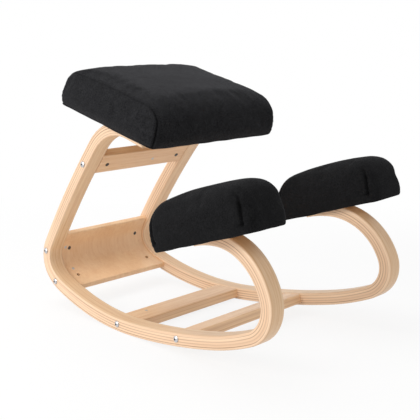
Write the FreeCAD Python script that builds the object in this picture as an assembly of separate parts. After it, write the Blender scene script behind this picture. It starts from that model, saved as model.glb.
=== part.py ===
import FreeCAD, Part
import math
import os

os.makedirs("parts", exist_ok=True)

# Rocking kneeling chair. Millimetres, Z up, the sitter faces -Y, left is -X.

# laminated runner: one strip bent along a chain of tangent arcs
stripThick = 28.0
stripWide = 39.0
edgeRound = 4.0
pathStart = (-2.7, 414.0)
pathAngle = 15.0
armLength = 56.8
# middle-line radii and turns in degrees, from the seat arm round to the knee arm
bendRadii = [113.0, 1967.0, 54.5, 113.7, 661.3, 1469.0, 567.0, 64.0, 134.8, 216.7]
bendAngles = [-65.4, -8.8, -78.8, -21.9, -23.4, -9.4, -11.0, -86.4, -70.7, -17.0]
# the two runners close in towards the rear and the top
halfWidth = 197.3
toeIn = 0.072
leanIn = 0.035

# cushions: a board, foam and a sewn cover, tilted about their front lower edge
seatHalf = halfWidth - 7.3
shinMiddle = halfWidth + 1.2
shinHalf = 55.5
coverThick = 1.7
softGap = 0.3
boardThick = 12.0
boardLift = coverThick + softGap
# along and across are the crown's heights, nose and heel the radii of the rounded ends
seat = {
    "front": (-30.4, 400.1), "angle": 15.2, "start": -5.0, "length": 297.0,
    "from": -seatHalf, "to": seatHalf,
    "high": 98.0, "along": 5.0, "across": 9.0, "nose": 24.0, "heel": 26.0, "corner": 24.0, "hem": 5.5,
}
shinPad = {
    "front": (-321.4, 284.1), "angle": -17.6, "start": -22.0, "length": 255.0,
    "from": -shinMiddle - shinHalf, "to": -shinMiddle + shinHalf,
    "high": 103.0, "along": 7.0, "across": 10.0, "nose": 52.0, "heel": 46.0, "corner": 16.0, "hem": 12.0,
}
cornerLow = 6.0
cornerHigh = 15.0
sideSwell = 3.0

# crossbars and rear panel
barThick = 22.0
barRound = 3.0
barRecess = 1.0
upperBarWide = 54.0
middleBarWide = 60.0
frontBarWide = 46.0
panelThick = 13.0
panelRecess = 5.5
# where the boards sit: the panel's overlap past the rear bend, the bars' share of the rocker's length
upperBarDown = 53.0
panelOverRiser = 27.0
panelOverRocker = 28.0
middleBarShare = 0.3775
frontBarShare = 0.6808

# hardware
boltDia = 6.0
boltLength = 64.0
boltHeadDia = 13.5
boltHeadHigh = 4.0
socketAcross = 4.0
nutDia = 9.0
nutLength = 14.0
panelNutLength = 8.0
nutInset = 23.0
dowelDia = 8.0
dowelLength = 28.0
pinDia = 7.0
pinLength = 1.8
# bolts, dowels and plugs along the boards
panelBoltInset = 46.0
panelDowelInset = 70.0
boltShift = 2.6
upperPlugX = 32.0
plugInset = 79.3
screwDia = 6.0
screwHeadDia = 12.0
screwHeadHigh = 3.4
teeDia = 8.0
teeFlangeDia = 18.0
teeFlangeHigh = 1.4
fit = 0.15

V = FreeCAD.Vector
far = 900.0


def pathSegments():
    segments = []
    y, z = pathStart
    phi = math.radians(pathAngle)
    segments.append((0.0, armLength, y, z, phi, 0.0))
    y += math.cos(phi) * armLength
    z += math.sin(phi) * armLength
    start = armLength
    for radius, turn in zip(bendRadii, bendAngles):
        angle = math.radians(turn)
        length = radius * abs(angle)
        segments.append((start, start + length, y, z, phi, angle / length))
        y, z = along(segments[-1], length)
        phi += angle
        start += length
    return segments


def along(segment, distance):
    y, z, phi, curve = segment[2:]
    if abs(curve) < 1e-9:
        return y + math.cos(phi) * distance, z + math.sin(phi) * distance
    end = phi + curve * distance
    return y + (math.sin(end) - math.sin(phi)) / curve, z - (math.cos(end) - math.cos(phi)) / curve


# point at a distance along the middle line, moved out (+) or in (-) across the strip
def at(station, out=0.0, x=0.0):
    for segment in path:
        if station <= segment[1] or segment is path[-1]:
            break
    y, z = along(segment, station - segment[0])
    phi = segment[4] + segment[5] * (station - segment[0])
    return V(x, y - math.sin(phi) * out, z + math.cos(phi) * out)


def heading(station):
    step = at(station + 0.5) - at(station - 0.5)
    return math.degrees(math.atan2(step.z, step.y))


def offsetEdges(start, end, out, x=0.0):
    edges = []
    for segment in path:
        low, high = max(start, segment[0]), min(end, segment[1])
        if high - low < 0.01:
            continue
        a, m, b = at(low, out, x), at((low + high) / 2, out, x), at(high, out, x)
        if abs(segment[5]) < 1e-9:
            edges.append(Part.makeLine(a, b))
        else:
            edges.append(Part.Arc(a, m, b).toShape())
    return edges


# the strip between two offsets of the middle line, drawn at x and pushed out sideways
def ribbon(start, end, inner, outer, x, width):
    edges = offsetEdges(start, end, outer, x) + offsetEdges(start, end, inner, x)
    edges.append(Part.makeLine(at(start, inner, x), at(start, outer, x)))
    edges.append(Part.makeLine(at(end, inner, x), at(end, outer, x)))
    wire = Part.Wire(Part.__sortEdges__(edges))
    return Part.Face(wire).extrude(V(width, 0, 0))


# everything on the inner side of one slanted plane: side is -1 left, +1 right
def inwardOf(side, inset):
    normal = V(side, toeIn, leanIn)
    block = Part.makeBox(far, 2 * far, 2 * far, V(-far, -far, -far))
    block.Placement = FreeCAD.Placement(V(side * (halfWidth - inset), 0, 0),
                                        FreeCAD.Rotation(V(1, 0, 0), normal))
    return block


def betweenRunners(solid):
    for side in (-1, 1):
        solid = solid.common(inwardOf(side, stripWide))
    return solid


def cylinder(centre, direction, radius, length, back=0.0):
    unit = V(direction).normalize()
    return Part.makeCylinder(radius, length + back, centre - unit * back, unit)


def hexPrism(centre, direction, across, length):
    corner = across / math.sqrt(3)
    points = [V(corner * math.cos(math.radians(60 * i)), corner * math.sin(math.radians(60 * i)), 0)
              for i in range(7)]
    prism = Part.Face(Part.makePolygon(points)).extrude(V(0, 0, length))
    prism.Placement = FreeCAD.Placement(centre, FreeCAD.Rotation(V(0, 0, 1), direction))
    return prism


def roundEdges(solid, radius, chosen):
    return solid.makeFillet(radius, [edge for edge in solid.Edges if chosen(edge)])


def save(node, shapes):
    shape = shapes[0] if len(shapes) == 1 else Part.makeCompound(shapes)
    shape.exportStep("parts/" + node + ".step")
    print(node, len(shapes), round(shape.Volume))


# a straight board between the runners, its inner face just below the strip's inner face
def crossbar(station, width):
    centre = at(station, barMiddle)
    board = Part.makeBox(2 * halfWidth, width, barThick, V(-halfWidth, -width / 2, -barThick / 2))
    board = roundEdges(board, barRound, lambda edge: edge.BoundBox.XLength > halfWidth)
    board.Placement = FreeCAD.Placement(centre, FreeCAD.Rotation(V(1, 0, 0), heading(station)))
    return betweenRunners(board)


# where a line across the chair meets the outer side of a runner
def onRunner(side, point):
    return V(side * (halfWidth - toeIn * point.y - leanIn * point.z), point.y, point.z)


# one bolted corner: bolt from outside, cross nut in the board and a locating dowel beside it
def cornerJoint(side, station, out, dowelStation, dowelOut, nutHigh, boardInner):
    normal = V(side, toeIn, leanIn).normalize()
    angle = math.radians(heading(station))
    inward = V(0, math.sin(angle), -math.cos(angle))
    face = onRunner(side, at(station, out))
    nutPoint = face - normal * (stripSquare + nutInset)
    head = cylinder(face, normal, boltHeadDia / 2, boltHeadHigh)
    crown = Part.makeSphere(boltHeadDia * 0.75, face + normal * (boltHeadHigh - boltHeadDia * 0.75))
    head = head.common(crown).cut(hexPrism(face + normal * (boltHeadHigh - 2.6), normal, socketAcross, 5))
    bolt = head.fuse(cylinder(face, normal * -1, boltDia / 2, boltLength, 0.2))
    boltHole = cylinder(face, normal * -1, boltDia / 2 + fit, boltLength + 2, 1.0)
    nut = cylinder(nutPoint - inward * nutHigh / 2, inward, nutDia / 2, nutHigh)
    nut = nut.cut(cylinder(nutPoint, normal, boltDia / 2 + fit, 20, 20))
    crossHole = cylinder(nutPoint, inward, nutDia / 2 + fit, out - boardInner + 2, nutHigh / 2 + fit)
    dowelPoint = onRunner(side, at(dowelStation, dowelOut)) - normal * stripSquare
    half = dowelLength / 2
    dowel = cylinder(dowelPoint, normal, dowelDia / 2, half, half)
    dowelHole = cylinder(dowelPoint, normal, dowelDia / 2 + fit, half + fit, half + fit)
    return {"bolt": bolt, "nut": nut, "dowel": dowel, "holes": [boltHole, dowelHole], "crossHole": crossHole}


# one cross-section of a cushion in the plane y: flat base, swelling sides, crowned top
def cushionSection(y, middle, half, low, high, crown):
    rl, rh = cornerLow, cornerHigh
    k = 1 - math.sqrt(0.5)
    side = high - crown - rh
    swell = half + sideSwell
    right = [(half - rl, low), (half - rl * k, low + rl * k), (half, low + rl),
             (swell, (low + rl + side) / 2), (half, side),
             (half - rh * k * 0.9, high - crown - rh * k), (half - rh, high - crown)]
    pr = [V(middle + px, y, pz) for px, pz in right]
    pl = [V(middle - px, y, pz) for px, pz in right]
    edges = [Part.makeLine(pl[0], pr[0])]
    for i in (0, 2, 4):
        edges.append(Part.Arc(pr[i], pr[i + 1], pr[i + 2]).toShape())
    edges.append(Part.Arc(pr[6], V(middle, y, high), pl[6]).toShape())
    for i in (6, 4, 2):
        edges.append(Part.Arc(pl[i], pl[i - 1], pl[i - 2]).toShape())
    return Part.Wire(edges)


# how far a rounded end has drawn in at distance d from it
def drawIn(d, radius):
    return radius - math.sqrt(max(radius ** 2 - max(radius - d, 0) ** 2, 0))


def cushion(spec, trim, ruled):
    y0, y1 = spec["start"] + trim, spec["start"] + spec["length"] - trim
    reach = max(spec["nose"], spec["heel"])
    steps = [reach * (1 - math.cos(math.radians(15 * i))) for i in range(7)]
    inner = [reach + (y1 - y0 - 2 * reach) * i / 3 for i in (1, 2)]
    stations = [y0 + d for d in steps + inner] + [y1 - d for d in reversed(steps)]
    wires = []
    for y in stations:
        d, radius = min((y - y0, spec["nose"]), (y1 - y, spec["heel"]))
        t = (2 * (y - y0) / (y1 - y0) - 1) ** 2
        half = (spec["to"] - spec["from"]) / 2 - sideSwell - trim - drawIn(d, spec["corner"] - trim)
        high = spec["high"] - spec["along"] * t - trim - drawIn(d, radius - trim)
        low = trim + drawIn(d, cornerLow)
        middle = (spec["to"] + spec["from"]) / 2
        wires.append(cushionSection(y, middle, half, low, high, spec["across"]))
    return Part.makeLoft(wires, True, ruled)


def slab(low, high):
    return Part.makeBox(2 * far, 2 * far, high - low, V(-far, -far, low))


# board, foam and cover of one cushion, in place
def upholstery(spec, bolts):
    outer, core = cushion(spec, 0, False), cushion(spec, boardLift, True)
    cavity = cushion(spec, coverThick, True)
    board = core.common(slab(boardLift, boardLift + boardThick))
    foam = core.common(slab(boardLift + boardThick, far))
    cover = outer.cut(cavity)
    hem = spec["hem"]
    opening = Part.makeBox(spec["to"] - spec["from"] - 2 * hem, spec["length"] - 24, 2 * boardLift,
                           V(spec["from"] + hem, spec["start"] + 12, -boardLift))
    cover = cover.cut(opening)
    place = placement(spec)
    tees = []
    for x, y in bolts:
        flangeAt = boardLift + boardThick - teeFlangeHigh
        tee = Part.makeCylinder(teeDia / 2, boardThick - teeFlangeHigh - 1, V(x, y, boardLift + 1))
        flange = Part.makeCylinder(teeFlangeDia / 2, teeFlangeHigh, V(x, y, flangeAt))
        bore = Part.makeCylinder(screwDia / 2 + fit, 3 * boardThick, V(x, y, -boardThick))
        board = board.cut(Part.makeCylinder(teeDia / 2 + fit, 3 * boardThick, V(x, y, -boardThick)))
        board = board.cut(Part.makeCylinder(teeFlangeDia / 2 + fit, boardThick, V(x, y, flangeAt)))
        tees.append(tee.fuse(flange).cut(bore))
    for shape in [board, foam, cover] + tees:
        shape.Placement = place
    return board, foam, cover, tees


def placement(spec):
    return FreeCAD.Placement(V(0, *spec["front"]), FreeCAD.Rotation(V(1, 0, 0), spec["angle"]))


# material above a cushion's board plane, which planes the runner's tail flat
def aboveBoard(spec, y, length, high):
    block = Part.makeBox(2 * far, length, high, V(-far, y, boardLift))
    block.Placement = placement(spec)
    return block


# screw up through the runner's tail into the board: its head seat is cut square to the board
def tailScrew(spec, x, y, tail):
    top = boardLift + boardThick - teeFlangeHigh - 1
    screw = Part.makeCylinder(screwDia / 2, top + tail, V(x, y, -tail))
    head = Part.makeCylinder(screwHeadDia / 2, screwHeadHigh, V(x, y, -tail - screwHeadHigh))
    rim = [e for e in head.Edges if e.Closed and e.CenterOfMass.z < -tail - screwHeadHigh + 0.1]
    head = head.makeFillet(1.4, rim)
    head = head.cut(hexPrism(V(x, y, -tail - screwHeadHigh - 2), V(0, 0, 1), socketAcross, 4))
    hole = Part.makeCylinder(screwDia / 2 + fit, 2 * tail, V(x, y, -tail))
    seatCut = Part.makeCylinder(screwHeadDia / 2 + 1, 30, V(x, y, -tail - 30))
    shapes = [screw.fuse(head), hole, seatCut]
    for shape in shapes:
        shape.Placement = placement(spec)
    return shapes


# bright plug let into the inner face of a board
def plug(x, station, inner, grow):
    angle = math.radians(heading(station))
    inward = V(0, math.sin(angle), -math.cos(angle))
    return cylinder(at(station, inner + 0.3, x), inward * -1, pinDia / 2 + grow, pinLength, grow * 10)


def runner(side):
    low = -halfWidth if side < 0 else halfWidth - stripWide
    strip = ribbon(0, pathEnd, -stripThick / 2, stripThick / 2, low, stripWide)
    strip = roundEdges(strip, edgeRound, lambda edge: edge.BoundBox.XLength < 0.01)
    # lean the square strip over into its slanted plane
    lean = FreeCAD.Matrix()
    lean.A12, lean.A13 = -side * toeIn, -side * leanIn
    strip = strip.transformGeometry(lean)
    strip = strip.cut(aboveBoard(seat, seat["start"], seat["length"], 60))
    return strip.cut(aboveBoard(shinPad, shinPad["start"], shinPad["length"], 60))


def mirror(shape):
    return shape.mirror(V(0, 0, 0), V(1, 0, 0))


path = pathSegments()
pathEnd = path[-1][1]
riserStart, rearStart, rockerStart = path[2][0], path[3][0], path[5][0]
stripSquare = stripWide / math.sqrt(1 + toeIn ** 2 + leanIn ** 2)
barInner = -stripThick / 2 + barRecess
barMiddle = barInner + barThick / 2
panelInner = -stripThick / 2 + panelRecess
panelMiddle = panelInner + panelThick / 2
panelFrom, panelTo = rearStart - panelOverRiser, rockerStart + panelOverRocker
rockerLength = path[8][0] - rockerStart
upperBarAt = riserStart + upperBarDown
middleBarAt = rockerStart + middleBarShare * rockerLength
frontBarAt = rockerStart + frontBarShare * rockerLength

bars = {"crossbar_upper": crossbar(upperBarAt, upperBarWide),
        "crossbar_middle": crossbar(middleBarAt, middleBarWide),
        "crossbar_front": crossbar(frontBarAt, frontBarWide)}
panel = ribbon(panelFrom, panelTo, panelInner, panelInner + panelThick, -halfWidth, 2 * halfWidth)
corners = [at(end, panelInner + step) for end in (panelFrom, panelTo) for step in (0, panelThick)]
panel = roundEdges(panel, barRound, lambda edge: edge.BoundBox.XLength > halfWidth and any(
    math.hypot(edge.CenterOfMass.y - c.y, edge.CenterOfMass.z - c.z) < 0.1 for c in corners))
bars["rear_panel"] = betweenRunners(panel)

# a bolt square to the slanted runner drifts inwards in the panel, so its head starts further out
boltShift = 2.6
# a bolt square to the slanted runner drifts inwards in the panel, so its head starts further out
boltOut = panelMiddle + boltShift
# board, station of the bolt, its offset, station of the dowel, its offset, height of the nut
joints = [
    ("crossbar_upper", upperBarAt + 3, barMiddle, upperBarAt - 15, barMiddle, nutLength),
    ("rear_panel", panelFrom + panelBoltInset, boltOut, panelFrom + panelDowelInset, panelMiddle,
     panelNutLength),
    ("rear_panel", panelTo - panelBoltInset, boltOut, panelTo - panelDowelInset, panelMiddle, panelNutLength),
    ("crossbar_middle", middleBarAt - 11, barMiddle, middleBarAt + 12, barMiddle, nutLength),
    ("crossbar_front", frontBarAt - 7, barMiddle, frontBarAt + 12, barMiddle, nutLength),
]
# board, distance from the middle, station, inner face
plugs = [
    ("crossbar_upper", upperPlugX, upperBarAt + 4, barInner),
    ("rear_panel", plugInset - halfWidth, panelFrom + panelBoltInset - 3, panelInner),
    ("rear_panel", plugInset - halfWidth + 6, panelTo - panelDowelInset + 6, panelInner),
    ("crossbar_middle", plugInset - halfWidth + 12, middleBarAt - 10, barInner),
]
# cushion, distance along it, thickness left under the board
tails = [(seat, 48.0, 6.0), (seat, 112.0, 6.0), (shinPad, 92.0, 6.5), (shinPad, 134.0, 6.5)]

runners = {-1: runner(-1), 1: runner(1)}
hardware = {"frame_bolts": [], "barrel_nuts": [], "dowels": [], "steel_plugs": [], "seat_screws": [],
            "shin_screws": []}
for board, boltAt, boltOut, dowelAt, dowelOut, nutHigh in joints:
    inner = panelInner if board == "rear_panel" else barInner
    for side in (-1, 1):
        joint = cornerJoint(side, boltAt, boltOut, dowelAt, dowelOut, nutHigh, inner)
        for hole in joint["holes"]:
            runners[side] = runners[side].cut(hole)
            bars[board] = bars[board].cut(hole)
        bars[board] = bars[board].cut(joint["crossHole"])
        hardware["frame_bolts"].append(joint["bolt"])
        hardware["barrel_nuts"].append(joint["nut"])
        hardware["dowels"].append(joint["dowel"])
for board, x, station, inner in plugs:
    hardware["steel_plugs"].append(plug(x, station, inner, 0))
    bars[board] = bars[board].cut(plug(x, station, inner, fit))

boltPoints = {"seat": [], "shin": []}
for spec, y, tail in tails:
    middle = placement(spec).multVec(V(0, y, 0))
    x = halfWidth - stripWide / 2 - toeIn * middle.y - leanIn * middle.z
    name = "seat" if spec is seat else "shin"
    boltPoints[name] += [(-x, y), (x, y)]
    for side in (-1, 1):
        screw, hole, headSeat = tailScrew(spec, side * x, y, tail)
        runners[side] = runners[side].cut(hole).cut(headSeat)
        hardware[name + "_screws"].append(screw)

for side, name in ((-1, "left"), (1, "right")):
    save("runner_" + name, [runners[side]])
for name, shape in bars.items():
    save(name, [shape])
for name, shapes in hardware.items():
    save(name, shapes)

board, foam, cover, tees = upholstery(seat, boltPoints["seat"])
save("seat_board", [board])
save("seat_foam", [foam])
save("seat_cover", [cover])
save("seat_tee_nuts", tees)

board, foam, cover, tees = upholstery(shinPad, [p for p in boltPoints["shin"] if p[0] < 0])
for name, shape in (("board", board), ("foam", foam), ("cover", cover)):
    save("shin_" + name + "_left", [shape])
    save("shin_" + name + "_right", [mirror(shape)])
save("shin_tee_nuts", tees + [mirror(tee) for tee in tees])
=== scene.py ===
import math

import bpy
import numpy as np
from mathutils import Matrix, Vector


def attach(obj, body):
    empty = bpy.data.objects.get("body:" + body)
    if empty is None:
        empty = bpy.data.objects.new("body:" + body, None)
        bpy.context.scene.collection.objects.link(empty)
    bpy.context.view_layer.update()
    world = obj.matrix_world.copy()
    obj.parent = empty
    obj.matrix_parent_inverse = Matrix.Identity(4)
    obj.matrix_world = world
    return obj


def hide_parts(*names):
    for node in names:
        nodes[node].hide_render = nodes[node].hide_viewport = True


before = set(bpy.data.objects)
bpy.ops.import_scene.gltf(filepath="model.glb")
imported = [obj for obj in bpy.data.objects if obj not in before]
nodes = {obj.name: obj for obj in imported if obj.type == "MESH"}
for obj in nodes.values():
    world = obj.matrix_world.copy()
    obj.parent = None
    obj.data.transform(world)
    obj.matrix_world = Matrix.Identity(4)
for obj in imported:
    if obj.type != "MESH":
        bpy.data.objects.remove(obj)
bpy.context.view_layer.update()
print("frame loaded")

mm = 0.001


# Small helpers

def shadeSmooth(mesh):
    mesh.polygons.foreach_set("use_smooth", np.full(len(mesh.polygons), True))


# a smooth piece at the origin, riding the root body, with its material
def finishPiece(name, coords, faces, material):
    mesh = bpy.data.meshes.new(name)
    mesh.from_pydata(coords.tolist(), [], faces)
    mesh.update()
    shadeSmooth(mesh)
    piece = bpy.data.objects.new(name, mesh)
    bpy.context.scene.collection.objects.link(piece)
    piece.data.materials.append(material)
    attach(piece, "root")
    return piece


# faces of a grid of rings: ringCount rings of pointCount points, closed round each ring
def ringFaces(ringCount, pointCount):
    i = np.arange(ringCount - 1)[:, None] * pointCount
    j = np.arange(pointCount)[None, :]
    k = (j + 1) % pointCount
    return np.stack([i + j, i + k, i + k + pointCount, i + j + pointCount], axis=-1).reshape(-1, 4)


# a ring's points closed on the point numbered centre: one triangle for each step round the ring
def capFaces(first, pointCount, centre, flip):
    j = np.arange(pointCount)
    a, b = first + j, first + (j + 1) % pointCount
    if flip:
        a, b = b, a
    return np.stack([np.full(pointCount, centre), b, a], axis=1).tolist()


# a grid of rings as one closed mesh: the rings' faces, and both end rings closed on their middles
def closedGrid(coords, ringCount, pointCount):
    ends = coords.reshape(ringCount, pointCount, -1)[[0, -1]].mean(1)
    faces = ringFaces(ringCount, pointCount).tolist()
    faces += capFaces(0, pointCount, len(coords), False)
    faces += capFaces((ringCount - 1) * pointCount, pointCount, len(coords) + 1, True)
    return np.concatenate([coords, ends]), faces


# a vector for each of the mesh's points, under a name that materials can read
def storeVector(mesh, name, values):
    layer = mesh.attributes.new(name, "FLOAT_VECTOR", "POINT")
    layer.data.foreach_set("vector", np.asarray(values, np.float32).ravel())


# the same with one number for each point
def storeValue(mesh, name, values):
    layer = mesh.attributes.new(name, "FLOAT", "POINT")
    layer.data.foreach_set("value", np.asarray(values, np.float32))


# Shader helpers

# a node group with its inputs (label, kind, value) and outputs (label, kind)
def newGroup(name, inputs, outputs):
    group = bpy.data.node_groups.new(name, "ShaderNodeTree")
    for label, kind, value in inputs:
        socket = group.interface.new_socket(label, in_out="INPUT", socket_type=kind)
        if value is not None:
            socket.default_value = value
    for label, kind in outputs:
        group.interface.new_socket(label, in_out="OUTPUT", socket_type=kind)
    start = group.nodes.new("NodeGroupInput")
    end = group.nodes.new("NodeGroupOutput")
    return group, start, end


# a node with its settings, its plain input values and the sockets that feed it
def addNode(tree, kind, settings=None, values=None, links=None):
    node = tree.nodes.new(kind)
    for key, value in (settings or {}).items():
        setattr(node, key, value)
    for key, value in (values or {}).items():
        node.inputs[key].default_value = value
    for key, source in (links or {}).items():
        tree.links.new(source, node.inputs[key])
    return node


# the output of a maths node; a, b and c are numbers or sockets
def mathNode(tree, operation, a, b=None, c=None, clamp=False):
    node = tree.nodes.new("ShaderNodeMath")
    node.operation = operation
    node.use_clamp = clamp
    for index, value in enumerate((a, b, c)):
        if value is None:
            continue
        if isinstance(value, (int, float)):
            node.inputs[index].default_value = value
        else:
            tree.links.new(value, node.inputs[index])
    return node.outputs[0]


# the output of a colour mix, from numbers, colours or sockets
def mixColour(tree, factor, a, b, blend="MIX"):
    node = tree.nodes.new("ShaderNodeMix")
    node.data_type = "RGBA"
    node.blend_type = blend
    for socket, value in ((node.inputs[0], factor), (node.inputs[6], a), (node.inputs[7], b)):
        if isinstance(value, (int, float, tuple)):
            socket.default_value = value
        else:
            tree.links.new(value, socket)
    return node.outputs[2]


# the output of a colour ramp with stops of position and colour
def rampNode(tree, factor, stops):
    node = tree.nodes.new("ShaderNodeValToRGB")
    tree.links.new(factor, node.inputs[0])
    elements = node.color_ramp.elements
    while len(elements) < len(stops):
        elements.new(0.5)
    for element, (position, colour) in zip(elements, stops):
        element.position = position
        element.color = colour
    return node.outputs[0]


# a screen colour from 0 to 255, as the linear colour that a socket takes
def linear(r, g, b):
    def one(c):
        c /= 255
        return c / 12.92 if c <= 0.04045 else ((c + 0.055) / 1.055) ** 2.4
    return (one(r), one(g), one(b), 1.0)


# wood grain: streaks stretched along the first axis of Vector, pores and broad drifts of tone
def makeGrainGroup():
    group, start, end = newGroup("woodGrain", [
        ("Vector", "NodeSocketVector", None),
        ("Light", "NodeSocketColor", (0.8, 0.6, 0.4, 1)),
        ("Dark", "NodeSocketColor", (0.6, 0.4, 0.25, 1)),
        ("Stretch", "NodeSocketFloat", 0.06),
        ("Scale", "NodeSocketFloat", 260.0),
    ], [("Color", "NodeSocketColor"), ("Roughness", "NodeSocketFloat"), ("Height", "NodeSocketFloat")])
    split = addNode(group, "ShaderNodeSeparateXYZ", links={0: start.outputs["Vector"]})
    along = mathNode(group, "MULTIPLY", split.outputs[0], start.outputs["Stretch"])
    stretched = addNode(group, "ShaderNodeCombineXYZ", links={
        0: along, 1: split.outputs[1], 2: split.outputs[2]})
    streaks = addNode(group, "ShaderNodeTexNoise",
                      values={"Detail": 5.0, "Roughness": 0.62, "Distortion": 0.1},
                      links={"Vector": stretched.outputs[0], "Scale": start.outputs["Scale"]})
    broadScale = mathNode(group, "MULTIPLY", start.outputs["Scale"], 0.16)
    broad = addNode(group, "ShaderNodeTexNoise",
                    values={"Detail": 2.0, "Roughness": 0.5, "Distortion": 0.2},
                    links={"Vector": stretched.outputs[0], "Scale": broadScale})
    poreScale = mathNode(group, "MULTIPLY", start.outputs["Scale"], 4.5)
    pores = addNode(group, "ShaderNodeTexNoise", values={"Detail": 1.0, "Roughness": 0.4},
                    links={"Vector": stretched.outputs[0], "Scale": poreScale})
    streakMask = rampNode(group, streaks.outputs[0], [(0.38, (0, 0, 0, 1)), (0.66, (1, 1, 1, 1))])
    broadMask = rampNode(group, broad.outputs[0], [(0.35, (0, 0, 0, 1)), (0.68, (1, 1, 1, 1))])
    poreMask = rampNode(group, pores.outputs[0], [(0.60, (0, 0, 0, 1)), (0.72, (1, 1, 1, 1))])
    tone = mathNode(group, "MULTIPLY_ADD", streakMask, 0.45, mathNode(group, "MULTIPLY", broadMask, 0.40))
    tone = mathNode(group, "MULTIPLY_ADD", poreMask, 0.28, tone, clamp=True)
    colour = mixColour(group, tone, start.outputs["Light"], start.outputs["Dark"])
    group.links.new(colour, end.inputs["Color"])
    group.links.new(mathNode(group, "MULTIPLY_ADD", tone, 0.12, 0.40), end.inputs["Roughness"])
    group.links.new(mathNode(group, "MULTIPLY", tone, -1.0), end.inputs["Height"])
    return group


# layers of a laminate, where Mask is 1: a dark glue line at every whole step of Across times Layers,
# each with its own strength along the strip, and fine streaks between them
def makePlyGroup():
    group, start, end = newGroup("plyLines", [
        ("Color", "NodeSocketColor", (0.8, 0.6, 0.4, 1)),
        ("Across", "NodeSocketFloat", 0.0),
        ("Along", "NodeSocketFloat", 0.0),
        ("Mask", "NodeSocketFloat", 1.0),
        ("Layers", "NodeSocketFloat", 14.0),
        ("Side", "NodeSocketColor", (0.8, 0.6, 0.4, 1)),
        ("Glue", "NodeSocketColor", (0.3, 0.18, 0.1, 1)),
    ], [("Color", "NodeSocketColor"), ("Height", "NodeSocketFloat")])
    level = mathNode(group, "MULTIPLY", start.outputs["Across"], start.outputs["Layers"])
    layer = mathNode(group, "FLOOR", mathNode(group, "ADD", level, 0.5))
    off = mathNode(group, "ABSOLUTE", mathNode(group, "SUBTRACT", level, layer))
    line = addNode(group, "ShaderNodeMapRange", {"interpolation_type": "SMOOTHSTEP"},
                   {"From Min": 0.20, "From Max": 0.04, "To Min": 0.0, "To Max": 1.0}, {"Value": off})
    lineAlong = mathNode(group, "MULTIPLY", start.outputs["Along"], 3.0)
    lineRow = mathNode(group, "MULTIPLY", layer, 5.17)
    lineSeed = addNode(group, "ShaderNodeCombineXYZ", links={0: lineAlong, 1: lineRow})
    lineTone = addNode(group, "ShaderNodeTexNoise", values={"Scale": 1.0, "Detail": 1.0},
                       links={"Vector": lineSeed.outputs[0]})
    lineForce = addNode(group, "ShaderNodeMapRange", values={"From Min": 0.35, "From Max": 0.65},
                        links={"Value": lineTone.outputs[0]})
    streakAlong = mathNode(group, "MULTIPLY", start.outputs["Along"], 2.0)
    streakRow = mathNode(group, "MULTIPLY", level, 1.1)
    streakSeed = addNode(group, "ShaderNodeCombineXYZ", links={0: streakAlong, 1: streakRow})
    streaks = addNode(group, "ShaderNodeTexNoise", values={"Scale": 1.0, "Detail": 3.0, "Roughness": 0.6},
                      links={"Vector": streakSeed.outputs[0]})
    shade = rampNode(group, streaks.outputs[0],
                     [(0.32, (0.86, 0.79, 0.74, 1)), (0.60, (1.02, 1.01, 1.0, 1))])
    sideColour = mixColour(group, 1.0, start.outputs["Side"], shade, "MULTIPLY")
    layered = mixColour(group, start.outputs["Mask"], start.outputs["Color"], sideColour)
    force = mathNode(group, "MULTIPLY_ADD", lineForce.outputs[0], 0.75, 0.06)
    masked = mathNode(group, "MULTIPLY", line.outputs[0], start.outputs["Mask"])
    glue = mathNode(group, "MULTIPLY", masked, force)
    group.links.new(mixColour(group, glue, layered, start.outputs["Glue"]), end.inputs["Color"])
    group.links.new(mathNode(group, "MULTIPLY", glue, -1.0), end.inputs["Height"])
    return group


# short-pile cloth: the sum of three noises, for single tufts, small specks and broad brushed patches
def makePileGroup():
    group, start, end = newGroup("brushedPile", [
        ("Light", "NodeSocketColor", (0.05, 0.05, 0.05, 1)),
        ("Dark", "NodeSocketColor", (0.01, 0.01, 0.01, 1)),
        ("Pile Scale", "NodeSocketFloat", 900.0),
    ], [("Color", "NodeSocketColor"), ("Height", "NodeSocketFloat")])
    coords = addNode(group, "ShaderNodeTexCoord")
    fine = addNode(group, "ShaderNodeTexNoise", values={"Detail": 4.0, "Roughness": 0.7},
                   links={"Vector": coords.outputs["Object"], "Scale": start.outputs["Pile Scale"]})
    patchScale = mathNode(group, "MULTIPLY", start.outputs["Pile Scale"], 0.06)
    patches = addNode(group, "ShaderNodeTexNoise",
                      values={"Detail": 4.0, "Roughness": 0.6, "Distortion": 0.6},
                      links={"Vector": coords.outputs["Object"], "Scale": patchScale})
    speckleScale = mathNode(group, "MULTIPLY", start.outputs["Pile Scale"], 0.30)
    speckle = addNode(group, "ShaderNodeTexNoise", values={"Detail": 3.0, "Roughness": 0.7},
                      links={"Vector": coords.outputs["Object"], "Scale": speckleScale})
    tone = mathNode(group, "MULTIPLY", fine.outputs[0], 0.6)
    tone = mathNode(group, "MULTIPLY_ADD", speckle.outputs[0], 1.1, tone)
    tone = mathNode(group, "MULTIPLY_ADD", patches.outputs[0], 0.4, tone)
    mask = addNode(group, "ShaderNodeMapRange", values={"From Min": 0.70, "From Max": 1.40},
                   links={"Value": tone})
    colour = mixColour(group, mask.outputs[0], start.outputs["Dark"], start.outputs["Light"])
    group.links.new(colour, end.inputs["Color"])
    height = mathNode(group, "ADD", fine.outputs[0], speckle.outputs[0])
    group.links.new(height, end.inputs["Height"])
    return group


grainGroup = makeGrainGroup()
plyGroup = makePlyGroup()
pileGroup = makePileGroup()


def newMaterial(name):
    material = bpy.data.materials.new(name)
    material.use_nodes = True
    return material, material.node_tree, material.node_tree.nodes["Principled BSDF"]


def useGroup(tree, group, values=None, links=None):
    return addNode(tree, "ShaderNodeGroup", {"node_tree": group}, values, links)


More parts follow.
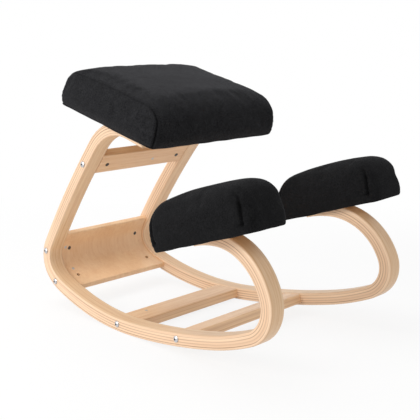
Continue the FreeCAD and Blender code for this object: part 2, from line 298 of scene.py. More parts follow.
def bumpFrom(tree, shader, height, strength, distance):
    bump = addNode(tree, "ShaderNodeBump", values={"Strength": strength, "Distance": distance},
                   links={"Height": height})
    tree.links.new(bump.outputs[0], shader.inputs["Normal"])


# gloss and relief that all the lacquered wood shares
lacquer = {"coatRoughness": 0.25, "bumpDistance": 0.0003}


def lacquerWood(tree, shader, colour, roughness, coat, height, bump):
    tree.links.new(colour, shader.inputs["Base Color"])
    tree.links.new(roughness, shader.inputs["Roughness"])
    shader.inputs["Coat Weight"].default_value = coat
    shader.inputs["Coat Roughness"].default_value = lacquer["coatRoughness"]
    bumpFrom(tree, shader, height, bump, lacquer["bumpDistance"])


# birch laminate, with the grain along the strip and the layers' edges on its two sides
stripWood = {
    "light": linear(248, 217, 178), "dark": linear(214, 164, 114), "glue": linear(138, 88, 56),
    "side": linear(246, 213, 179), "layers": 5.0,
    "stretch": 0.025, "scale": 240.0, "coat": 0.25, "bump": 0.25,
    "sideFrom": 3.5, "sideFull": 0.8,  # mm in from the side face where its look starts and is full
}


def makeStripMaterial():
    material, tree, shader = newMaterial("lacqueredLaminate")
    strip = addNode(tree, "ShaderNodeAttribute", {"attribute_type": "GEOMETRY", "attribute_name": "strip"})
    split = addNode(tree, "ShaderNodeSeparateXYZ", links={0: strip.outputs["Vector"]})
    grain = useGroup(tree, grainGroup,
                     {"Light": stripWood["light"], "Dark": stripWood["dark"],
                      "Stretch": stripWood["stretch"], "Scale": stripWood["scale"]},
                     {"Vector": strip.outputs["Vector"]})
    across = mathNode(tree, "MULTIPLY_ADD", split.outputs[2], 1 / (runnerSizes["thick"] * mm), 0.5)
    sideway = mathNode(tree, "ABSOLUTE", split.outputs[1])
    half = runnerSizes["wide"] / 2 * mm
    mask = addNode(tree, "ShaderNodeMapRange",
                   values={"From Min": half - stripWood["sideFrom"] * mm,
                           "From Max": half - stripWood["sideFull"] * mm},
                   links={"Value": sideway})
    ply = useGroup(tree, plyGroup,
                   {"Layers": stripWood["layers"], "Glue": stripWood["glue"], "Side": stripWood["side"]},
                   {"Color": grain.outputs["Color"], "Across": across, "Along": split.outputs[0],
                    "Mask": mask.outputs[0]})
    height = mathNode(tree, "ADD", grain.outputs["Height"], ply.outputs["Height"])
    lacquerWood(tree, shader, ply.outputs["Color"], grain.outputs["Roughness"], stripWood["coat"], height,
                stripWood["bump"])
    return material


# boards: the grain runs along X, or along Z on an upright one, and plyHigh is the height of a layer in mm
boardWoods = {
    "lacqueredBoard": {
        "light": linear(250, 213, 172), "dark": linear(229, 180, 132), "scale": 220.0, "coat": 0.25},
    "lacqueredPlyBoard": {
        "light": linear(250, 213, 172), "dark": linear(226, 176, 128), "scale": 220.0, "coat": 0.25,
        "plyHigh": 8.0},
    "lacqueredPanel": {
        "light": linear(249, 212, 170), "dark": linear(234, 188, 142), "scale": 150.0, "coat": 0.25,
        "upright": True},
    "plainPlywood": {
        "light": linear(196, 164, 122), "dark": linear(160, 126, 86), "scale": 200.0, "coat": 0.0},
}
boardGrain = {"stretch": 0.05, "bump": 0.2}


def makeBoardMaterial(name):
    wood = boardWoods[name]
    material, tree, shader = newMaterial(name)
    coords = addNode(tree, "ShaderNodeTexCoord")
    place = addNode(tree, "ShaderNodeSeparateXYZ", links={0: coords.outputs["Object"]})
    x, y, z = place.outputs
    order = {0: z, 1: y, 2: x} if wood.get("upright") else {0: x, 1: y, 2: z}
    turned = addNode(tree, "ShaderNodeCombineXYZ", links=order)
    grain = useGroup(tree, grainGroup,
                     {"Light": wood["light"], "Dark": wood["dark"], "Stretch": boardGrain["stretch"],
                      "Scale": wood["scale"]},
                     {"Vector": turned.outputs[0]})
    colour = grain.outputs["Color"]
    if "plyHigh" in wood:
        # the layers' edges show on the faces that stand upright
        facing = addNode(tree, "ShaderNodeSeparateXYZ", links={0: coords.outputs["Normal"]})
        side = addNode(tree, "ShaderNodeMapRange", values={"From Min": 0.7, "From Max": 0.5},
                       links={"Value": mathNode(tree, "ABSOLUTE", facing.outputs[2])})
        ply = useGroup(tree, plyGroup, {"Layers": 1.0, "Glue": wood["dark"], "Side": wood["light"]},
                       {"Color": colour, "Along": x, "Mask": side.outputs[0],
                        "Across": mathNode(tree, "DIVIDE", z, wood["plyHigh"] * mm)})
        colour = ply.outputs["Color"]
    lacquerWood(tree, shader, colour, grain.outputs["Roughness"], wood["coat"], grain.outputs["Height"],
                boardGrain["bump"])
    return material


# the same cloth in two tones: the pads lie darker than the seat, so their copy of the cloth is darker,
# painted shade for the shade the seat casts on them
seatPile = {"light": linear(50, 50, 52), "dark": linear(6, 6, 7), "scale": 1200.0, "sheen": 0.10}
shinPilePaintedShade = {"light": linear(36, 36, 37), "dark": linear(7, 7, 8), "scale": 1200.0, "sheen": 0.06}
# colour and share of the painted shade and dark thread in the seams' grooves
seamShadeAndThread = {"colour": (0.001, 0.001, 0.001, 1), "share": 0.75}
pileGloss = {
    "roughness": 0.95, "specular": 0.05, "sheenRoughness": 0.4, "sheenTint": (0.8, 0.8, 0.85, 1),
    "bump": 0.5, "bumpDistance": 0.0012,
}


def makePileMaterial(name, pile):
    material, tree, shader = newMaterial(name)
    cloth = useGroup(tree, pileGroup,
                     {"Light": pile["light"], "Dark": pile["dark"], "Pile Scale": pile["scale"]})
    # thread and shadow in the seam's groove
    seam = addNode(tree, "ShaderNodeAttribute", {"attribute_type": "GEOMETRY", "attribute_name": "seam"})
    deep = mathNode(tree, "MULTIPLY", seam.outputs["Fac"], seamShadeAndThread["share"], clamp=True)
    colour = mixColour(tree, deep, cloth.outputs["Color"], seamShadeAndThread["colour"])
    tree.links.new(colour, shader.inputs["Base Color"])
    shader.inputs["Roughness"].default_value = pileGloss["roughness"]
    shader.inputs["Specular IOR Level"].default_value = pileGloss["specular"]
    shader.inputs["Sheen Weight"].default_value = pile["sheen"]
    shader.inputs["Sheen Roughness"].default_value = pileGloss["sheenRoughness"]
    shader.inputs["Sheen Tint"].default_value = pileGloss["sheenTint"]
    bumpFrom(tree, shader, cloth.outputs["Height"], pileGloss["bump"], pileGloss["bumpDistance"])
    return material


# the recess share is how much of its colour a metal loses in its sockets, as painted shade
metals = {
    "boltChrome": {"colour": (0.60, 0.60, 0.62, 1), "roughness": 0.22, "recessPaintedShade": 0.93},
    "plainSteel": {"colour": (0.55, 0.55, 0.56, 1), "roughness": 0.38},
    "darkSteel": {"colour": (0.10, 0.09, 0.085, 1), "roughness": 0.5},
}
# wear moves the roughness between smoother and rougher; the painted shade of the sockets reaches into
# hollows this deep
metalWearAndShade = {"scale": 900.0, "smoother": 0.05, "rougher": 0.08, "recessShadeReach": 0.004}


def makeMetalMaterial(name):
    metal = metals[name]
    material, tree, shader = newMaterial(name)
    coords = addNode(tree, "ShaderNodeTexCoord")
    wear = addNode(tree, "ShaderNodeTexNoise", values={"Scale": metalWearAndShade["scale"], "Detail": 3.0},
                   links={"Vector": coords.outputs["Object"]})
    shader.inputs["Base Color"].default_value = metal["colour"]
    shader.inputs["Metallic"].default_value = 1.0
    spread = addNode(tree, "ShaderNodeMapRange",
                     values={"To Min": metal["roughness"] - metalWearAndShade["smoother"],
                             "To Max": metal["roughness"] + metalWearAndShade["rougher"]},
                     links={"Value": wear.outputs[0]})
    tree.links.new(spread.outputs[0], shader.inputs["Roughness"])
    if "recessPaintedShade" in metal:
        # painted shade: the sockets in the heads are darkened where the occlusion finds them closed in
        shade = addNode(tree, "ShaderNodeAmbientOcclusion", {"samples": 8},
                        {"Distance": metalWearAndShade["recessShadeReach"]})
        openness = rampNode(tree, shade.outputs["AO"], [(0.35, (0, 0, 0, 1)), (0.85, (1, 1, 1, 1))])
        dark = tuple(c * (1 - metal["recessPaintedShade"]) for c in metal["colour"][:3]) + (1,)
        tree.links.new(mixColour(tree, openness, dark, metal["colour"]), shader.inputs["Base Color"])
    return material


# Runners: one laminated strip each, carried along a chain of arcs

# in mm and degrees. The strip starts at (y, z) under the seat, runs straight for arm and then in bends of
# (radius, turn). half is half the width over both runners at y = 0 on the floor, and each runner comes in
# by toe for a mm of y and by lean for a mm of z
runnerSizes = {
    "thick": 28.0, "wide": 39.0, "edge": 4.0, "start": (-2.7, 414.0), "heading": 15.0, "arm": 56.8,
    "bends": [(113.0, -65.4), (1967.0, -8.8), (54.5, -78.8), (113.7, -21.9), (661.3, -23.4),
              (1469.0, -9.4), (567.0, -11.0), (64.0, -86.4), (134.8, -70.7), (216.7, -17.0)],
    "half": 197.3, "toe": 0.072, "lean": 0.035, "step": 4.0, "flatSteps": 5, "arcSteps": 5,
}


# middle line as rows of station, y, z and heading: the heading grows evenly with the station on each arc,
# and y and z move by the heading's cosine and sine, summed along the arc
def middleLine():
    y, z = runnerSizes["start"]
    phi = math.radians(runnerSizes["heading"])
    runs = [(runnerSizes["arm"], 0.0)]
    runs += [(r * abs(math.radians(t)), math.copysign(1 / r, t)) for r, t in runnerSizes["bends"]]
    rows = []
    station = 0.0
    for length, curve in runs:
        count = max(2, int(length / runnerSizes["step"]))
        d = np.linspace(0, length, count, endpoint=False)
        angle = phi + curve * d
        if curve:
            ys = y + (np.sin(angle) - math.sin(phi)) / curve
            zs = z - (np.cos(angle) - math.cos(phi)) / curve
            end = phi + curve * length
            y += (math.sin(end) - math.sin(phi)) / curve
            z -= (math.cos(end) - math.cos(phi)) / curve
            phi = end
        else:
            ys, zs = y + d * math.cos(phi), z + d * math.sin(phi)
            y += length * math.cos(phi)
            z += length * math.sin(phi)
        rows.append(np.stack([station + d, ys, zs, angle], axis=1))
        station += length
    rows.append(np.array([[station, y, z, phi]]))
    return np.concatenate(rows)


# corner arcs joined in their order by straight runs of even steps
def joinArcs(arcs, flatSteps):
    share = np.linspace(0, 1, flatSteps + 1)[1:-1, None]
    pieces = []
    for number, arc in enumerate(arcs):
        following = arcs[(number + 1) % len(arcs)]
        pieces += [arc, arc[-1] * (1 - share) + following[0] * share]
    return np.concatenate(pieces)


# rounded rectangle as points of two offsets: quarter circles at the corners and flats between them
def roundedOutline(halfA, halfB, radius, flatSteps, arcSteps):
    turn = np.linspace(0, math.pi / 2, arcSteps + 1)
    arcs = []
    for quarter, (sa, sb) in enumerate(((1, 1), (-1, 1), (-1, -1), (1, -1))):
        angle = turn + quarter * math.pi / 2
        arcs.append(np.stack([sa * (halfA - radius) + radius * np.cos(angle),
                              sb * (halfB - radius) + radius * np.sin(angle)], axis=1))
    return joinArcs(arcs, flatSteps)


# tilted planes of the cushions' undersides, as in the solids: a point on the plane, its slope, and how far
# the board reaches along it. The board's own underside is boardLift above the plane
boardPlanes = {
    "seat": {"front": (-30.4, 400.1), "angle": 15.2, "reach": (-5.0, 292.0)},
    "shin": {"front": (-321.4, 284.1), "angle": -17.6, "reach": (-22.0, 233.0)},
}
boardLift = 2.0
planeZone = {"above": 60.0, "ahead": 15.0}  # how far over the plane and ahead of the board it still counts


# points over a board's underside are lowered onto it: s runs along the plane and t is the height over it
def planeOff(y, z, plane):
    a = math.radians(plane["angle"])
    dy, dz = y - plane["front"][0], z - plane["front"][1]
    s = dy * math.cos(a) + dz * math.sin(a)
    t = dz * math.cos(a) - dy * math.sin(a)
    low, high = plane["reach"]
    over = (t > boardLift) & (t < planeZone["above"]) & (s > low - planeZone["ahead"]) & (s < high)
    t = np.where(over, boardLift, t)
    return (plane["front"][0] + s * math.cos(a) - t * math.sin(a),
            plane["front"][1] + s * math.sin(a) + t * math.cos(a))


# each ring is the outline square to the middle line, and x is moved by toe times y and lean times z.
# With each point goes its place in the strip: station, offset to the side and offset through the thickness
def runnerMesh(side):
    line = middleLine()
    outline = roundedOutline(runnerSizes["wide"] / 2, runnerSizes["thick"] / 2, runnerSizes["edge"],
                             runnerSizes["flatSteps"], runnerSizes["arcSteps"])[::-1]  # faces outwards
    w, t = outline[None, :, 0], outline[None, :, 1]
    s, y0, z0, phi = (line[:, k][:, None] for k in range(4))
    y = y0 - np.sin(phi) * t + 0 * w
    z = z0 + np.cos(phi) * t + 0 * w
    for plane in boardPlanes.values():
        y, z = planeOff(y, z, plane)
    middle = runnerSizes["half"] - runnerSizes["wide"] / 2
    x = side * (middle - runnerSizes["toe"] * y - runnerSizes["lean"] * z) + w
    grid = np.stack([x, y, z, s + 0 * w, w + 0 * s, t + 0 * s], axis=-1).reshape(-1, 6)
    grid, faces = closedGrid(grid * mm, len(line), len(outline))
    return grid[:, :3], faces, grid[:, 3:]


stripMaterial = makeStripMaterial()
barMaterial = makeBoardMaterial("lacqueredBoard")
floorBarMaterial = makeBoardMaterial("lacqueredPlyBoard")
panelMaterial = makeBoardMaterial("lacqueredPanel")
rawBoardMaterial = makeBoardMaterial("plainPlywood")
seatCloth = makePileMaterial("brushedBlackSeatCloth", seatPile)
# the shin pads' darker copy of the cloth is painted shade
shinClothPaintedShade = makePileMaterial("brushedBlackShinClothPaintedShade", shinPilePaintedShade)
boltMaterial = makeMetalMaterial("boltChrome")
steelMaterial = makeMetalMaterial("plainSteel")
darkSteelMaterial = makeMetalMaterial("darkSteel")
print("materials")

for side, name in ((-1, "left"), (1, "right")):
    coords, faces, strip = runnerMesh(side)
    piece = finishPiece("runnerStrip_" + name, coords, faces, stripMaterial)
    storeVector(piece.data, "strip", strip)
    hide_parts("runner_" + name)
print("runners")


# Cushions: one panel wraps over the top, front and back, and a flat panel closes each side

# sizes in mm, along the plane from its point, across it and up from it: nose, heel, foot and edge are radii
# of the corners and the side edges; along and across are the top's fullness, bow the ends' and swell the
# sides'; pull is the drop of the top corners and hem the width of the folded hem; shrink is what the
# padding fills again and cap the most that it moves. The seam has its depth, its width, its place inside
# the outline, how that place moves towards the middle, its strength over the top and its gathers
seatSizes = {
    "plane": boardPlanes["seat"], "start": -5.0, "length": 297.0, "from": -190.0, "to": 190.0, "high": 88.0,
    "nose": 36.0, "heel": 28.0, "foot": 2.5, "edge": 10.0,
    "along": 3.0, "across": 7.0, "bow": 5.0, "swell": 3.0,
    "pull": 5.0, "hem": 6.0, "shrink": 3.0, "cap": 6.0, "voxel": 5.0, "fill": 0.85,
    "seamDepth": 2.8, "seamWide": 3.0, "seamAt": 0.0, "seamLean": 1.0, "topSeam": 1.0, "gather": 0.7,
}
shinSizes = {
    "plane": boardPlanes["shin"], "start": -24.5, "length": 258.5, "from": -254.0, "to": -143.0,
    "high": 92.0, "nose": 26.0, "heel": 42.0, "foot": 2.5, "edge": 16.0,
    "along": 2.0, "across": 5.0, "bow": 4.5, "swell": 3.0,
    "pull": 9.0, "hem": 12.0, "shrink": 3.0, "cap": 6.0, "voxel": 4.5, "fill": 0.85,
    "seamDepth": 3.4, "seamWide": 3.6, "seamAt": 17.0, "seamLean": 0.0, "topSeam": 0.0, "gather": 1.3,
}
# steps round an outline's corner and along its flats, round the side edge, from there to the middle, and
# inwards on a side panel
formSteps = {"arc": 12, "flat": 24, "edge": 6, "span": 12, "panel": 8}
boardFit = {
    "clear": 1.0,  # the cloth round the board's edge and under it
    "inside": 3.5, "endHem": 12.0,  # the cut edge hides in the board, this far in from both ends
    "slimFrom": 18.0, "slimOver": 30.0,  # above this height, and over this much more, the form gets slimmer
}


# unit normals that point into a closed ring, square to the chord between each point's neighbours
def inwardNormals(ring):
    tangent = np.roll(ring, -1, axis=0) - np.roll(ring, 1, axis=0)
    tangent /= np.linalg.norm(tangent, axis=1)[:, None]
    return np.stack([-tangent[:, 1], tangent[:, 0]], axis=1)


# side outline of a cushion as points (along, up): a box with four rounded corners, whose top rises as a
# parabola of the distance from its middle, and whose ends bow out as a parabola of the height
def sideOutline(sizes):
    y0, y1 = sizes["start"], sizes["start"] + sizes["length"]
    corners = [((y1, sizes["high"]), sizes["heel"], 0), ((y0, sizes["high"]), sizes["nose"], 90),
               ((y0, 0.0), sizes["foot"], 180), ((y1, 0.0), sizes["foot"], 270)]
    arcs = []
    for (cy, cz), radius, turn in corners:
        angle = np.radians(turn + np.linspace(0, 90, formSteps["arc"] + 1))
        inY = cy - math.copysign(radius, cy - (y0 + y1) / 2)
        inZ = cz - math.copysign(radius, cz - sizes["high"] / 2)
        arcs.append(np.stack([inY + radius * np.cos(angle), inZ + radius * np.sin(angle)], axis=1))
    ring = joinArcs(arcs, formSteps["flat"])
    reach = 2 * (ring[:, 0] - y0) / (y1 - y0) - 1
    up = np.clip(ring[:, 1] / sizes["high"], 0, 1)
    ring[:, 1] += sizes["along"] * up ** 4 * (1 - reach ** 2)
    ring[:, 0] += sizes["bow"] * reach ** 5 * 4 * up * (1 - up)
    return ring


# rings of the side outline across the cushion: drawn in round the edge by a quarter circle, and on the
# side panels shrunk towards their middle, with the panel bowed out as 1 - share squared
def cushionForm(sizes):
    ring = sideOutline(sizes)
    inward = inwardNormals(ring)
    half = (sizes["to"] - sizes["from"]) / 2 - sizes["swell"] + boardFit["clear"]
    middle = (sizes["to"] + sizes["from"]) / 2
    edge = sizes["edge"]
    turn = np.radians(np.linspace(0, 90, formSteps["edge"] + 1))
    span = np.linspace(0, half - edge, formSteps["span"] + 1)[:-1]
    offset = np.concatenate([span, half - edge + edge * np.sin(turn)])
    inset = np.concatenate([0 * span, edge * (1 - np.cos(turn))])
    centre = ring.mean(0)
    # the underside stays flat on the board
    draw = np.stack([inward[:, 0], np.minimum(inward[:, 1], 0)], axis=1)
    rows = []
    for x, d in zip(offset, inset):
        rows.append(np.column_stack([np.full(len(ring), x), ring + draw * d]))
    last = rows[-1]
    for share in np.linspace(0.9, 0.1, formSteps["panel"]):
        shrunk = centre + (last[:, 1:] - centre) * share
        bowed = half + sizes["swell"] * (1 - share ** 2)
        rows.append(np.column_stack([np.full(len(ring), bowed), shrunk]))
    rightHalf = np.array(rows)
    leftHalf = rightHalf[:0:-1] * np.array([-1.0, 1.0, 1.0])
    grid = np.concatenate([leftHalf, rightHalf])
    x, y, z = grid[..., 0], grid[..., 1], grid[..., 2]
    up = np.clip(z / sizes["high"], 0, 1)
    z = z + sizes["across"] * up ** 3 * (1 - (x / half) ** 2)
    # the four top corners are pulled down by the seams
    reach = 2 * (y - sizes["start"]) / sizes["length"] - 1
    z = z - sizes["pull"] * up ** 2 * (x / half) ** 2 * reach ** 4
    # the padding swells later, so everything above the board starts a little smaller
    slim = sizes["shrink"] * np.clip((z - boardFit["slimFrom"]) / boardFit["slimOver"], 0, 1)
    centreY = sizes["start"] + sizes["length"] / 2
    x = x * (1 + (4 * sizes["bow"] * up * (1 - up) - slim) / half)
    y = centreY + (y - centreY) * (1 - 2 * slim / sizes["length"])
    z = z - slim - boardFit["clear"] * (z < boardLift)
    # the cloth is folded under the board as a hem; inside the hem the board is bare
    endHem = sizes["length"] / 2 - boardFit["endHem"]
    inHem = (np.abs(x) > half - sizes["hem"]) | (np.abs(y - centreY) > endHem)
    z = np.where((z < 0) & ~inHem, boardFit["inside"], z)
    coords = np.stack([middle + x, y, z], axis=-1).reshape(-1, 3)
    return closedGrid(coords, *grid.shape[:2])


def readPoints(mesh):
    coords = np.empty(len(mesh.vertices) * 3)
    mesh.vertices.foreach_get("co", coords)
    return coords.reshape(-1, 3)


def writePoints(mesh, coords):
    mesh.vertices.foreach_set("co", coords.ravel())
    mesh.update()


def readNormals(mesh):
    normals = np.empty(len(mesh.vertices) * 3)
    mesh.vertex_normals.foreach_get("vector", normals)
    return normals.reshape(-1, 3)


def applyModifier(piece, name):
    bpy.context.view_layer.objects.active = piece
    piece.select_set(True)
    bpy.ops.object.modifier_apply(modifier=name)
    piece.select_set(False)


waveCount = 7


# smooth random field over points: the mean of a few sine waves of mixed direction and length
def softField(coords, wave, seed):
    rng = np.random.default_rng(seed)
    field = np.zeros(len(coords))
    for _ in range(waveCount):
        direction = rng.normal(size=3)
        direction /= np.linalg.norm(direction)
        turns = coords @ direction * 2 * math.pi / (wave * rng.uniform(0.7, 1.6))
        field += np.sin(turns + rng.uniform(0, 6.3))
    return field / waveCount


swellCloth = {
    "quality": 5, "mass": 0.3, "stiffness": 15, "bending": 0.5, "pressure": 4.0, "frames": 20,
    "pinBelow": 12.0,
}


# the cover under pressure for a few frames, pinned low down; each point's shift is capped by a tanh
def inflate(piece, sizes):
    mesh = piece.data
    start = readPoints(mesh)
    pinned = piece.vertex_groups.new(name="pinned")
    pinned.add(np.nonzero(start[:, 2] < swellCloth["pinBelow"] * mm)[0].tolist(), 1.0, "REPLACE")
    cloth = piece.modifiers.new("cloth", "CLOTH")
    settings = cloth.settings
    settings.quality = swellCloth["quality"]
    settings.mass = swellCloth["mass"]
    settings.tension_stiffness = settings.compression_stiffness = swellCloth["stiffness"]
    settings.bending_stiffness = swellCloth["bending"]
    settings.use_pressure = True
    settings.uniform_pressure_force = swellCloth["pressure"]
    settings.effector_weights.gravity = 0.0
    settings.vertex_group_mass = "pinned"
    cloth.collision_settings.use_collision = False
    cloth.collision_settings.use_self_collision = False
    scene = bpy.context.scene
    for number in range(1, swellCloth["frames"] + 1):
        scene.frame_set(number)
    depsgraph = bpy.context.evaluated_depsgraph_get()
    moved = readPoints(piece.evaluated_get(depsgraph).data)
    piece.modifiers.remove(cloth)
    scene.frame_set(1)
    shift = moved - start
    size = np.linalg.norm(shift, axis=1)
    cap = sizes["cap"] * mm
    shift *= (cap * np.tanh(size / cap) / np.maximum(size, 1e-9))[:, None]
    writePoints(mesh, start + shift)
    piece.vertex_groups.clear()


# signed distance of points (along, up) inside the side outline, from its nearest point and normal
def depthInside(points, sizes):
    ring = sideOutline(sizes)
    inward = inwardNormals(ring)
    depth = np.empty(len(points))
    batch = 20000  # points at a time, to spare memory
    for first in range(0, len(points), batch):
        part = points[first:first + batch]
        gaps = ((part[:, None, :] - ring[None]) ** 2).sum(-1)
        nearest = gaps.argmin(1)
        depth[first:first + batch] = ((part - ring[nearest]) * inward[nearest]).sum(-1)
    return depth


# near is in edge radii. onSide and the two fades are lines that fall from their first number by their
# second; the gains are a value along the seam and what the corners add to it
seamShape = {
    "near": 1.5, "lowest": 3.0, "onSide": (4.0, 3.0), "deepGain": (0.7, 0.9), "seamShadeGain": (0.55, 0.45),
    "ripple": 0.62, "slant": 0.05, "rippleWide": 9.0, "rippleLow": 12.0, "rippleFade": (1.2, 1.6),
    "cornerFrom": 0.78, "cornerOver": 0.1, "cornerFade": (2.1, 1.9),
}


# the line's value, kept between 0 and 1
def fallingLine(pair, value):
    return np.clip(pair[0] - pair[1] * value, 0, 1)


# groove where a side panel meets the wrapped panel: a bell-shaped dip at a set depth inside the outline,
# deepest at the four upright corners, with ripples beside it whose height is a sine of the level
def creaseSeams(piece, sizes):
    mesh = piece.data
    coords = readPoints(mesh)
    normals = readNormals(mesh)
    x, y, z = (coords / mm).T
    middle = (sizes["to"] + sizes["from"]) / 2
    half = (sizes["to"] - sizes["from"]) / 2
    fromSide = half - np.abs(x - middle)
    up = np.clip(z / sizes["high"], 0, 1)
    reach = np.clip(2 * (y - sizes["start"]) / sizes["length"] - 1, -1, 1)
    # the top's fullness and its pull, as in cushionForm, are taken off before the outline is measured
    crown = sizes["across"] * up ** 3 * (1 - np.clip((x - middle) / half, -1, 1) ** 2)
    crown -= sizes["pull"] * up ** 2 * reach ** 4
    reachIn = seamShape["near"] * sizes["edge"]
    near = np.nonzero((fromSide < reachIn) & (z > seamShape["lowest"]))[0]
    depth = depthInside(np.stack([y, z - crown], axis=1)[near], sizes)
    across = depth - sizes["seamAt"] - sizes["seamLean"] * fromSide[near]
    onSide = fallingLine(seamShape["onSide"], fromSide[near] / sizes["edge"]) * (depth < reachIn)
    groove, gather = np.zeros(len(coords)), np.zeros(len(coords))
    groove[near] = np.exp(-(across / sizes["seamWide"]) ** 2) * onSide
    ripple = np.sin(z[near] * seamShape["ripple"] + seamShape["slant"] * y[near])
    ripple *= np.exp(-(across / seamShape["rippleWide"]) ** 2) * onSide
    ripple *= fallingLine(seamShape["rippleFade"], up[near])
    gather[near] = ripple * np.clip(z[near] / seamShape["rippleLow"], 0, 1)
    corner = np.clip((np.abs(reach) - seamShape["cornerFrom"]) / seamShape["cornerOver"], 0, 1)
    corner = corner * fallingLine(seamShape["cornerFade"], up)
    # the top seam shows on the seat only
    along = sizes["topSeam"] * (1 - corner) + corner
    deep, deepMore = seamShape["deepGain"]
    dark, darkMore = seamShape["seamShadeGain"]
    depths = groove * sizes["seamDepth"] * along * (deep + deepMore * corner)
    depths -= gather * sizes["gather"] * corner
    coords -= normals * (depths * mm)[:, None]
    writePoints(mesh, coords)
    # the stored seam value is painted shade for the groove, darker still at the corners
    storeValue(mesh, "seam", groove * along * (dark + darkMore * corner))


# a cushion's own axes, turned about X by the plane's slope and moved to the plane's point
def placement(plane):
    y, z = plane["front"]
    turn = Matrix.Rotation(math.radians(plane["angle"]), 4, "X")
    return Matrix.Translation(Vector((0, y * mm, z * mm))) @ turn


padding = {
    "dents": [(0.12, 1.0, 0), (0.035, 0.3, 5)],  # wave length in m, depth in mm, step of the seed
    "dentsFrom": 10.0, "dentsOver": 30.0,
    "hemWave": 0.05, "hemDeep": 1.4, "hemFade": 7.0, "hemSeed": 9,
    "smoothFactor": 0.5, "smoothTurns": 3,
}


# the form, remeshed in even faces, swelled, dented by soft fields, smoothed, subdivided and creased
def makeCushion(name, sizes, cloth, seed):
    coords, faces = cushionForm(sizes)
    piece = finishPiece(name, coords * mm, faces, cloth)
    remesh = piece.modifiers.new("remesh", "REMESH")
    remesh.mode = "VOXEL"
    remesh.voxel_size = sizes["voxel"] * mm
    remesh.use_smooth_shade = True
    applyModifier(piece, "remesh")
    inflate(piece, sizes)
    # slight dents and fullness of the padding
    coords = readPoints(piece.data)
    normals = readNormals(piece.data)
    above = np.clip((coords[:, 2] / mm - padding["dentsFrom"]) / padding["dentsOver"], 0, 1)
    for wave, deep, step in padding["dents"]:
        coords += normals * (softField(coords, wave, seed + step) * deep * mm * above)[:, None]
    # the stapled hem runs in slight waves
    low = np.exp(-(coords[:, 2] / (padding["hemFade"] * mm)) ** 2)
    waves = softField(coords * np.array([1, 1, 0.2]), padding["hemWave"], seed + padding["hemSeed"])
    coords[:, 2] += waves * padding["hemDeep"] * mm * low
    writePoints(piece.data, coords)
    smooth = piece.modifiers.new("smooth", "SMOOTH")
    smooth.factor, smooth.iterations = padding["smoothFactor"], padding["smoothTurns"]
    applyModifier(piece, "smooth")
    subdivide = piece.modifiers.new("subdivide", "SUBSURF")
    subdivide.levels = subdivide.render_levels = 1
    applyModifier(piece, "subdivide")
    creaseSeams(piece, sizes)
    piece.data.transform(placement(sizes["plane"]))
    piece.data.update()
    shadeSmooth(piece.data)
    return piece


seatCushion = makeCushion("seatCushion", seatSizes, seatCloth, 3)
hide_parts("seat_cover", "seat_foam")
rightSizes = {**shinSizes, "from": -shinSizes["to"], "to": -shinSizes["from"]}
for name, sizes, seed in (("left", shinSizes, 10), ("right", rightSizes, 12)):
    pad = makeCushion("shinPad_" + name, sizes, shinClothPaintedShade, seed)
    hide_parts("shin_cover_" + name, "shin_foam_" + name)
print("cushions")


# Carried-over nodes get their finishes

nodeFinishes = {
    "crossbar_upper": barMaterial, "crossbar_middle": floorBarMaterial, "crossbar_front": floorBarMaterial,
    "rear_panel": panelMaterial, "frame_bolts": boltMaterial, "barrel_nuts": darkSteelMaterial,
    "dowels": barMaterial, "steel_plugs": steelMaterial, "seat_screws": steelMaterial,
    "shin_screws": steelMaterial, "seat_board": rawBoardMaterial, "shin_board_left": rawBoardMaterial,
    "shin_board_right": rawBoardMaterial, "seat_tee_nuts": steelMaterial, "shin_tee_nuts": steelMaterial,
}
for name, material in nodeFinishes.items():
    node = nodes[name]
    node.data.materials.clear()
    node.data.materials.append(material)
print("finishes")


# Floor, light and camera

# floorWhite is the share of plain white close by, which grows to all from whiteFrom to whiteTo metres away;
# ambient is the strength of the even light
studio = {
    "floorSize": 40.0, "floorTone": 0.92, "floorWhite": 0.85, "whiteFrom": 0.7, "whiteTo": 1.6,
    "ambient": 0.54,
}
lamps = [
    {"name": "keyLamp", "at": (-2.8, 0.5, 1.7), "size": 1.6, "power": 47.0},
    {"name": "topLamp", "at": (-0.2, 0.8, 3.0), "size": 2.0, "power": 34.0},
]
lampTarget = (0, 0, 0.25)
cameraSizes = {
    "at": (-1.3568, -1.2612, 0.6220), "azimuth": -47.5, "elevation": 11.43, "lens": 73.95, "sensor": 36.0,
}


# 1 for rays that show the backdrop to the camera, directly or by a mirror or glass
def seenRays(tree):
    rays = addNode(tree, "ShaderNodeLightPath").outputs
    mirrored = mathNode(tree, "MAXIMUM", rays["Is Glossy Ray"], rays["Is Transmission Ray"])
    return mathNode(tree, "MAXIMUM", rays["Is Camera Ray"], mirrored)


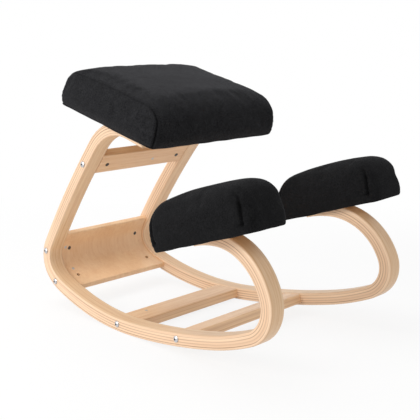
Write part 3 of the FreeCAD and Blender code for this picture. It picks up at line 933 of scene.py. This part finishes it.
def makeFloor():
    mesh = bpy.data.meshes.new("floor")
    far = studio["floorSize"]
    mesh.from_pydata([(-far, -far, 0), (far, -far, 0), (far, far, 0), (-far, far, 0)], [], [(0, 1, 2, 3)])
    floor = bpy.data.objects.new("floor", mesh)
    bpy.context.scene.collection.objects.link(floor)
    material, tree, shader = newMaterial("whiteFloor")
    shader.inputs["Base Color"].default_value = (studio["floorTone"],) * 3 + (1,)
    shader.inputs["Roughness"].default_value = 0.9
    shader.inputs["Specular IOR Level"].default_value = 0.0
    # seen directly or mirrored, the floor is mostly plain white, and keeps a share of its shadow
    white = addNode(tree, "ShaderNodeEmission", values={"Color": (1, 1, 1, 1), "Strength": 1.0})
    coords = addNode(tree, "ShaderNodeTexCoord")
    distance = addNode(tree, "ShaderNodeVectorMath", {"operation": "LENGTH"},
                       links={0: coords.outputs["Object"]})
    fade = addNode(tree, "ShaderNodeMapRange", {"interpolation_type": "SMOOTHSTEP"},
                   {"From Min": studio["whiteFrom"], "From Max": studio["whiteTo"],
                    "To Min": studio["floorWhite"], "To Max": 1.0},
                   {"Value": distance.outputs["Value"]})
    share = mathNode(tree, "MULTIPLY", seenRays(tree), fade.outputs[0])
    mix = addNode(tree, "ShaderNodeMixShader", links={0: share, 1: shader.outputs[0], 2: white.outputs[0]})
    tree.links.new(mix.outputs[0], tree.nodes["Material Output"].inputs["Surface"])
    mesh.materials.append(material)


# even light from all round, which is plain white to the camera
def makeWorld():
    world = bpy.data.worlds.new("studio")
    bpy.context.scene.world = world
    world.use_nodes = True
    tree = world.node_tree
    background = tree.nodes["Background"]
    seen = seenRays(tree)
    background.inputs["Color"].default_value = (1, 1, 1, 1)
    strength = mathNode(tree, "MULTIPLY_ADD", seen, 1 - studio["ambient"], studio["ambient"])
    tree.links.new(strength, background.inputs["Strength"])


def makeLamps():
    target = Vector(lampTarget)
    for sizes in lamps:
        data = bpy.data.lights.new(sizes["name"], "AREA")
        data.size = sizes["size"]
        data.energy = sizes["power"]
        lamp = bpy.data.objects.new(sizes["name"], data)
        lamp.location = sizes["at"]
        lamp.rotation_euler = (lamp.location - target).to_track_quat("Z", "Y").to_euler()
        bpy.context.scene.collection.objects.link(lamp)


# the camera looks from the photograph's side: azimuth is turned from -Y, elevation is above the floor
def makeCamera():
    data = bpy.data.cameras.new("camera")
    data.lens = cameraSizes["lens"]
    data.sensor_width = cameraSizes["sensor"]
    camera = bpy.data.objects.new("camera", data)
    a, e = math.radians(cameraSizes["azimuth"]), math.radians(cameraSizes["elevation"])
    back = Vector((math.sin(a) * math.cos(e), -math.cos(a) * math.cos(e), math.sin(e)))
    camera.location = cameraSizes["at"]
    camera.rotation_euler = back.to_track_quat("Z", "Y").to_euler()
    bpy.context.scene.collection.objects.link(camera)
    bpy.context.scene.camera = camera


makeFloor()
makeWorld()
makeLamps()
makeCamera()
bpy.context.scene.view_settings.view_transform = "Standard"
print("stage")
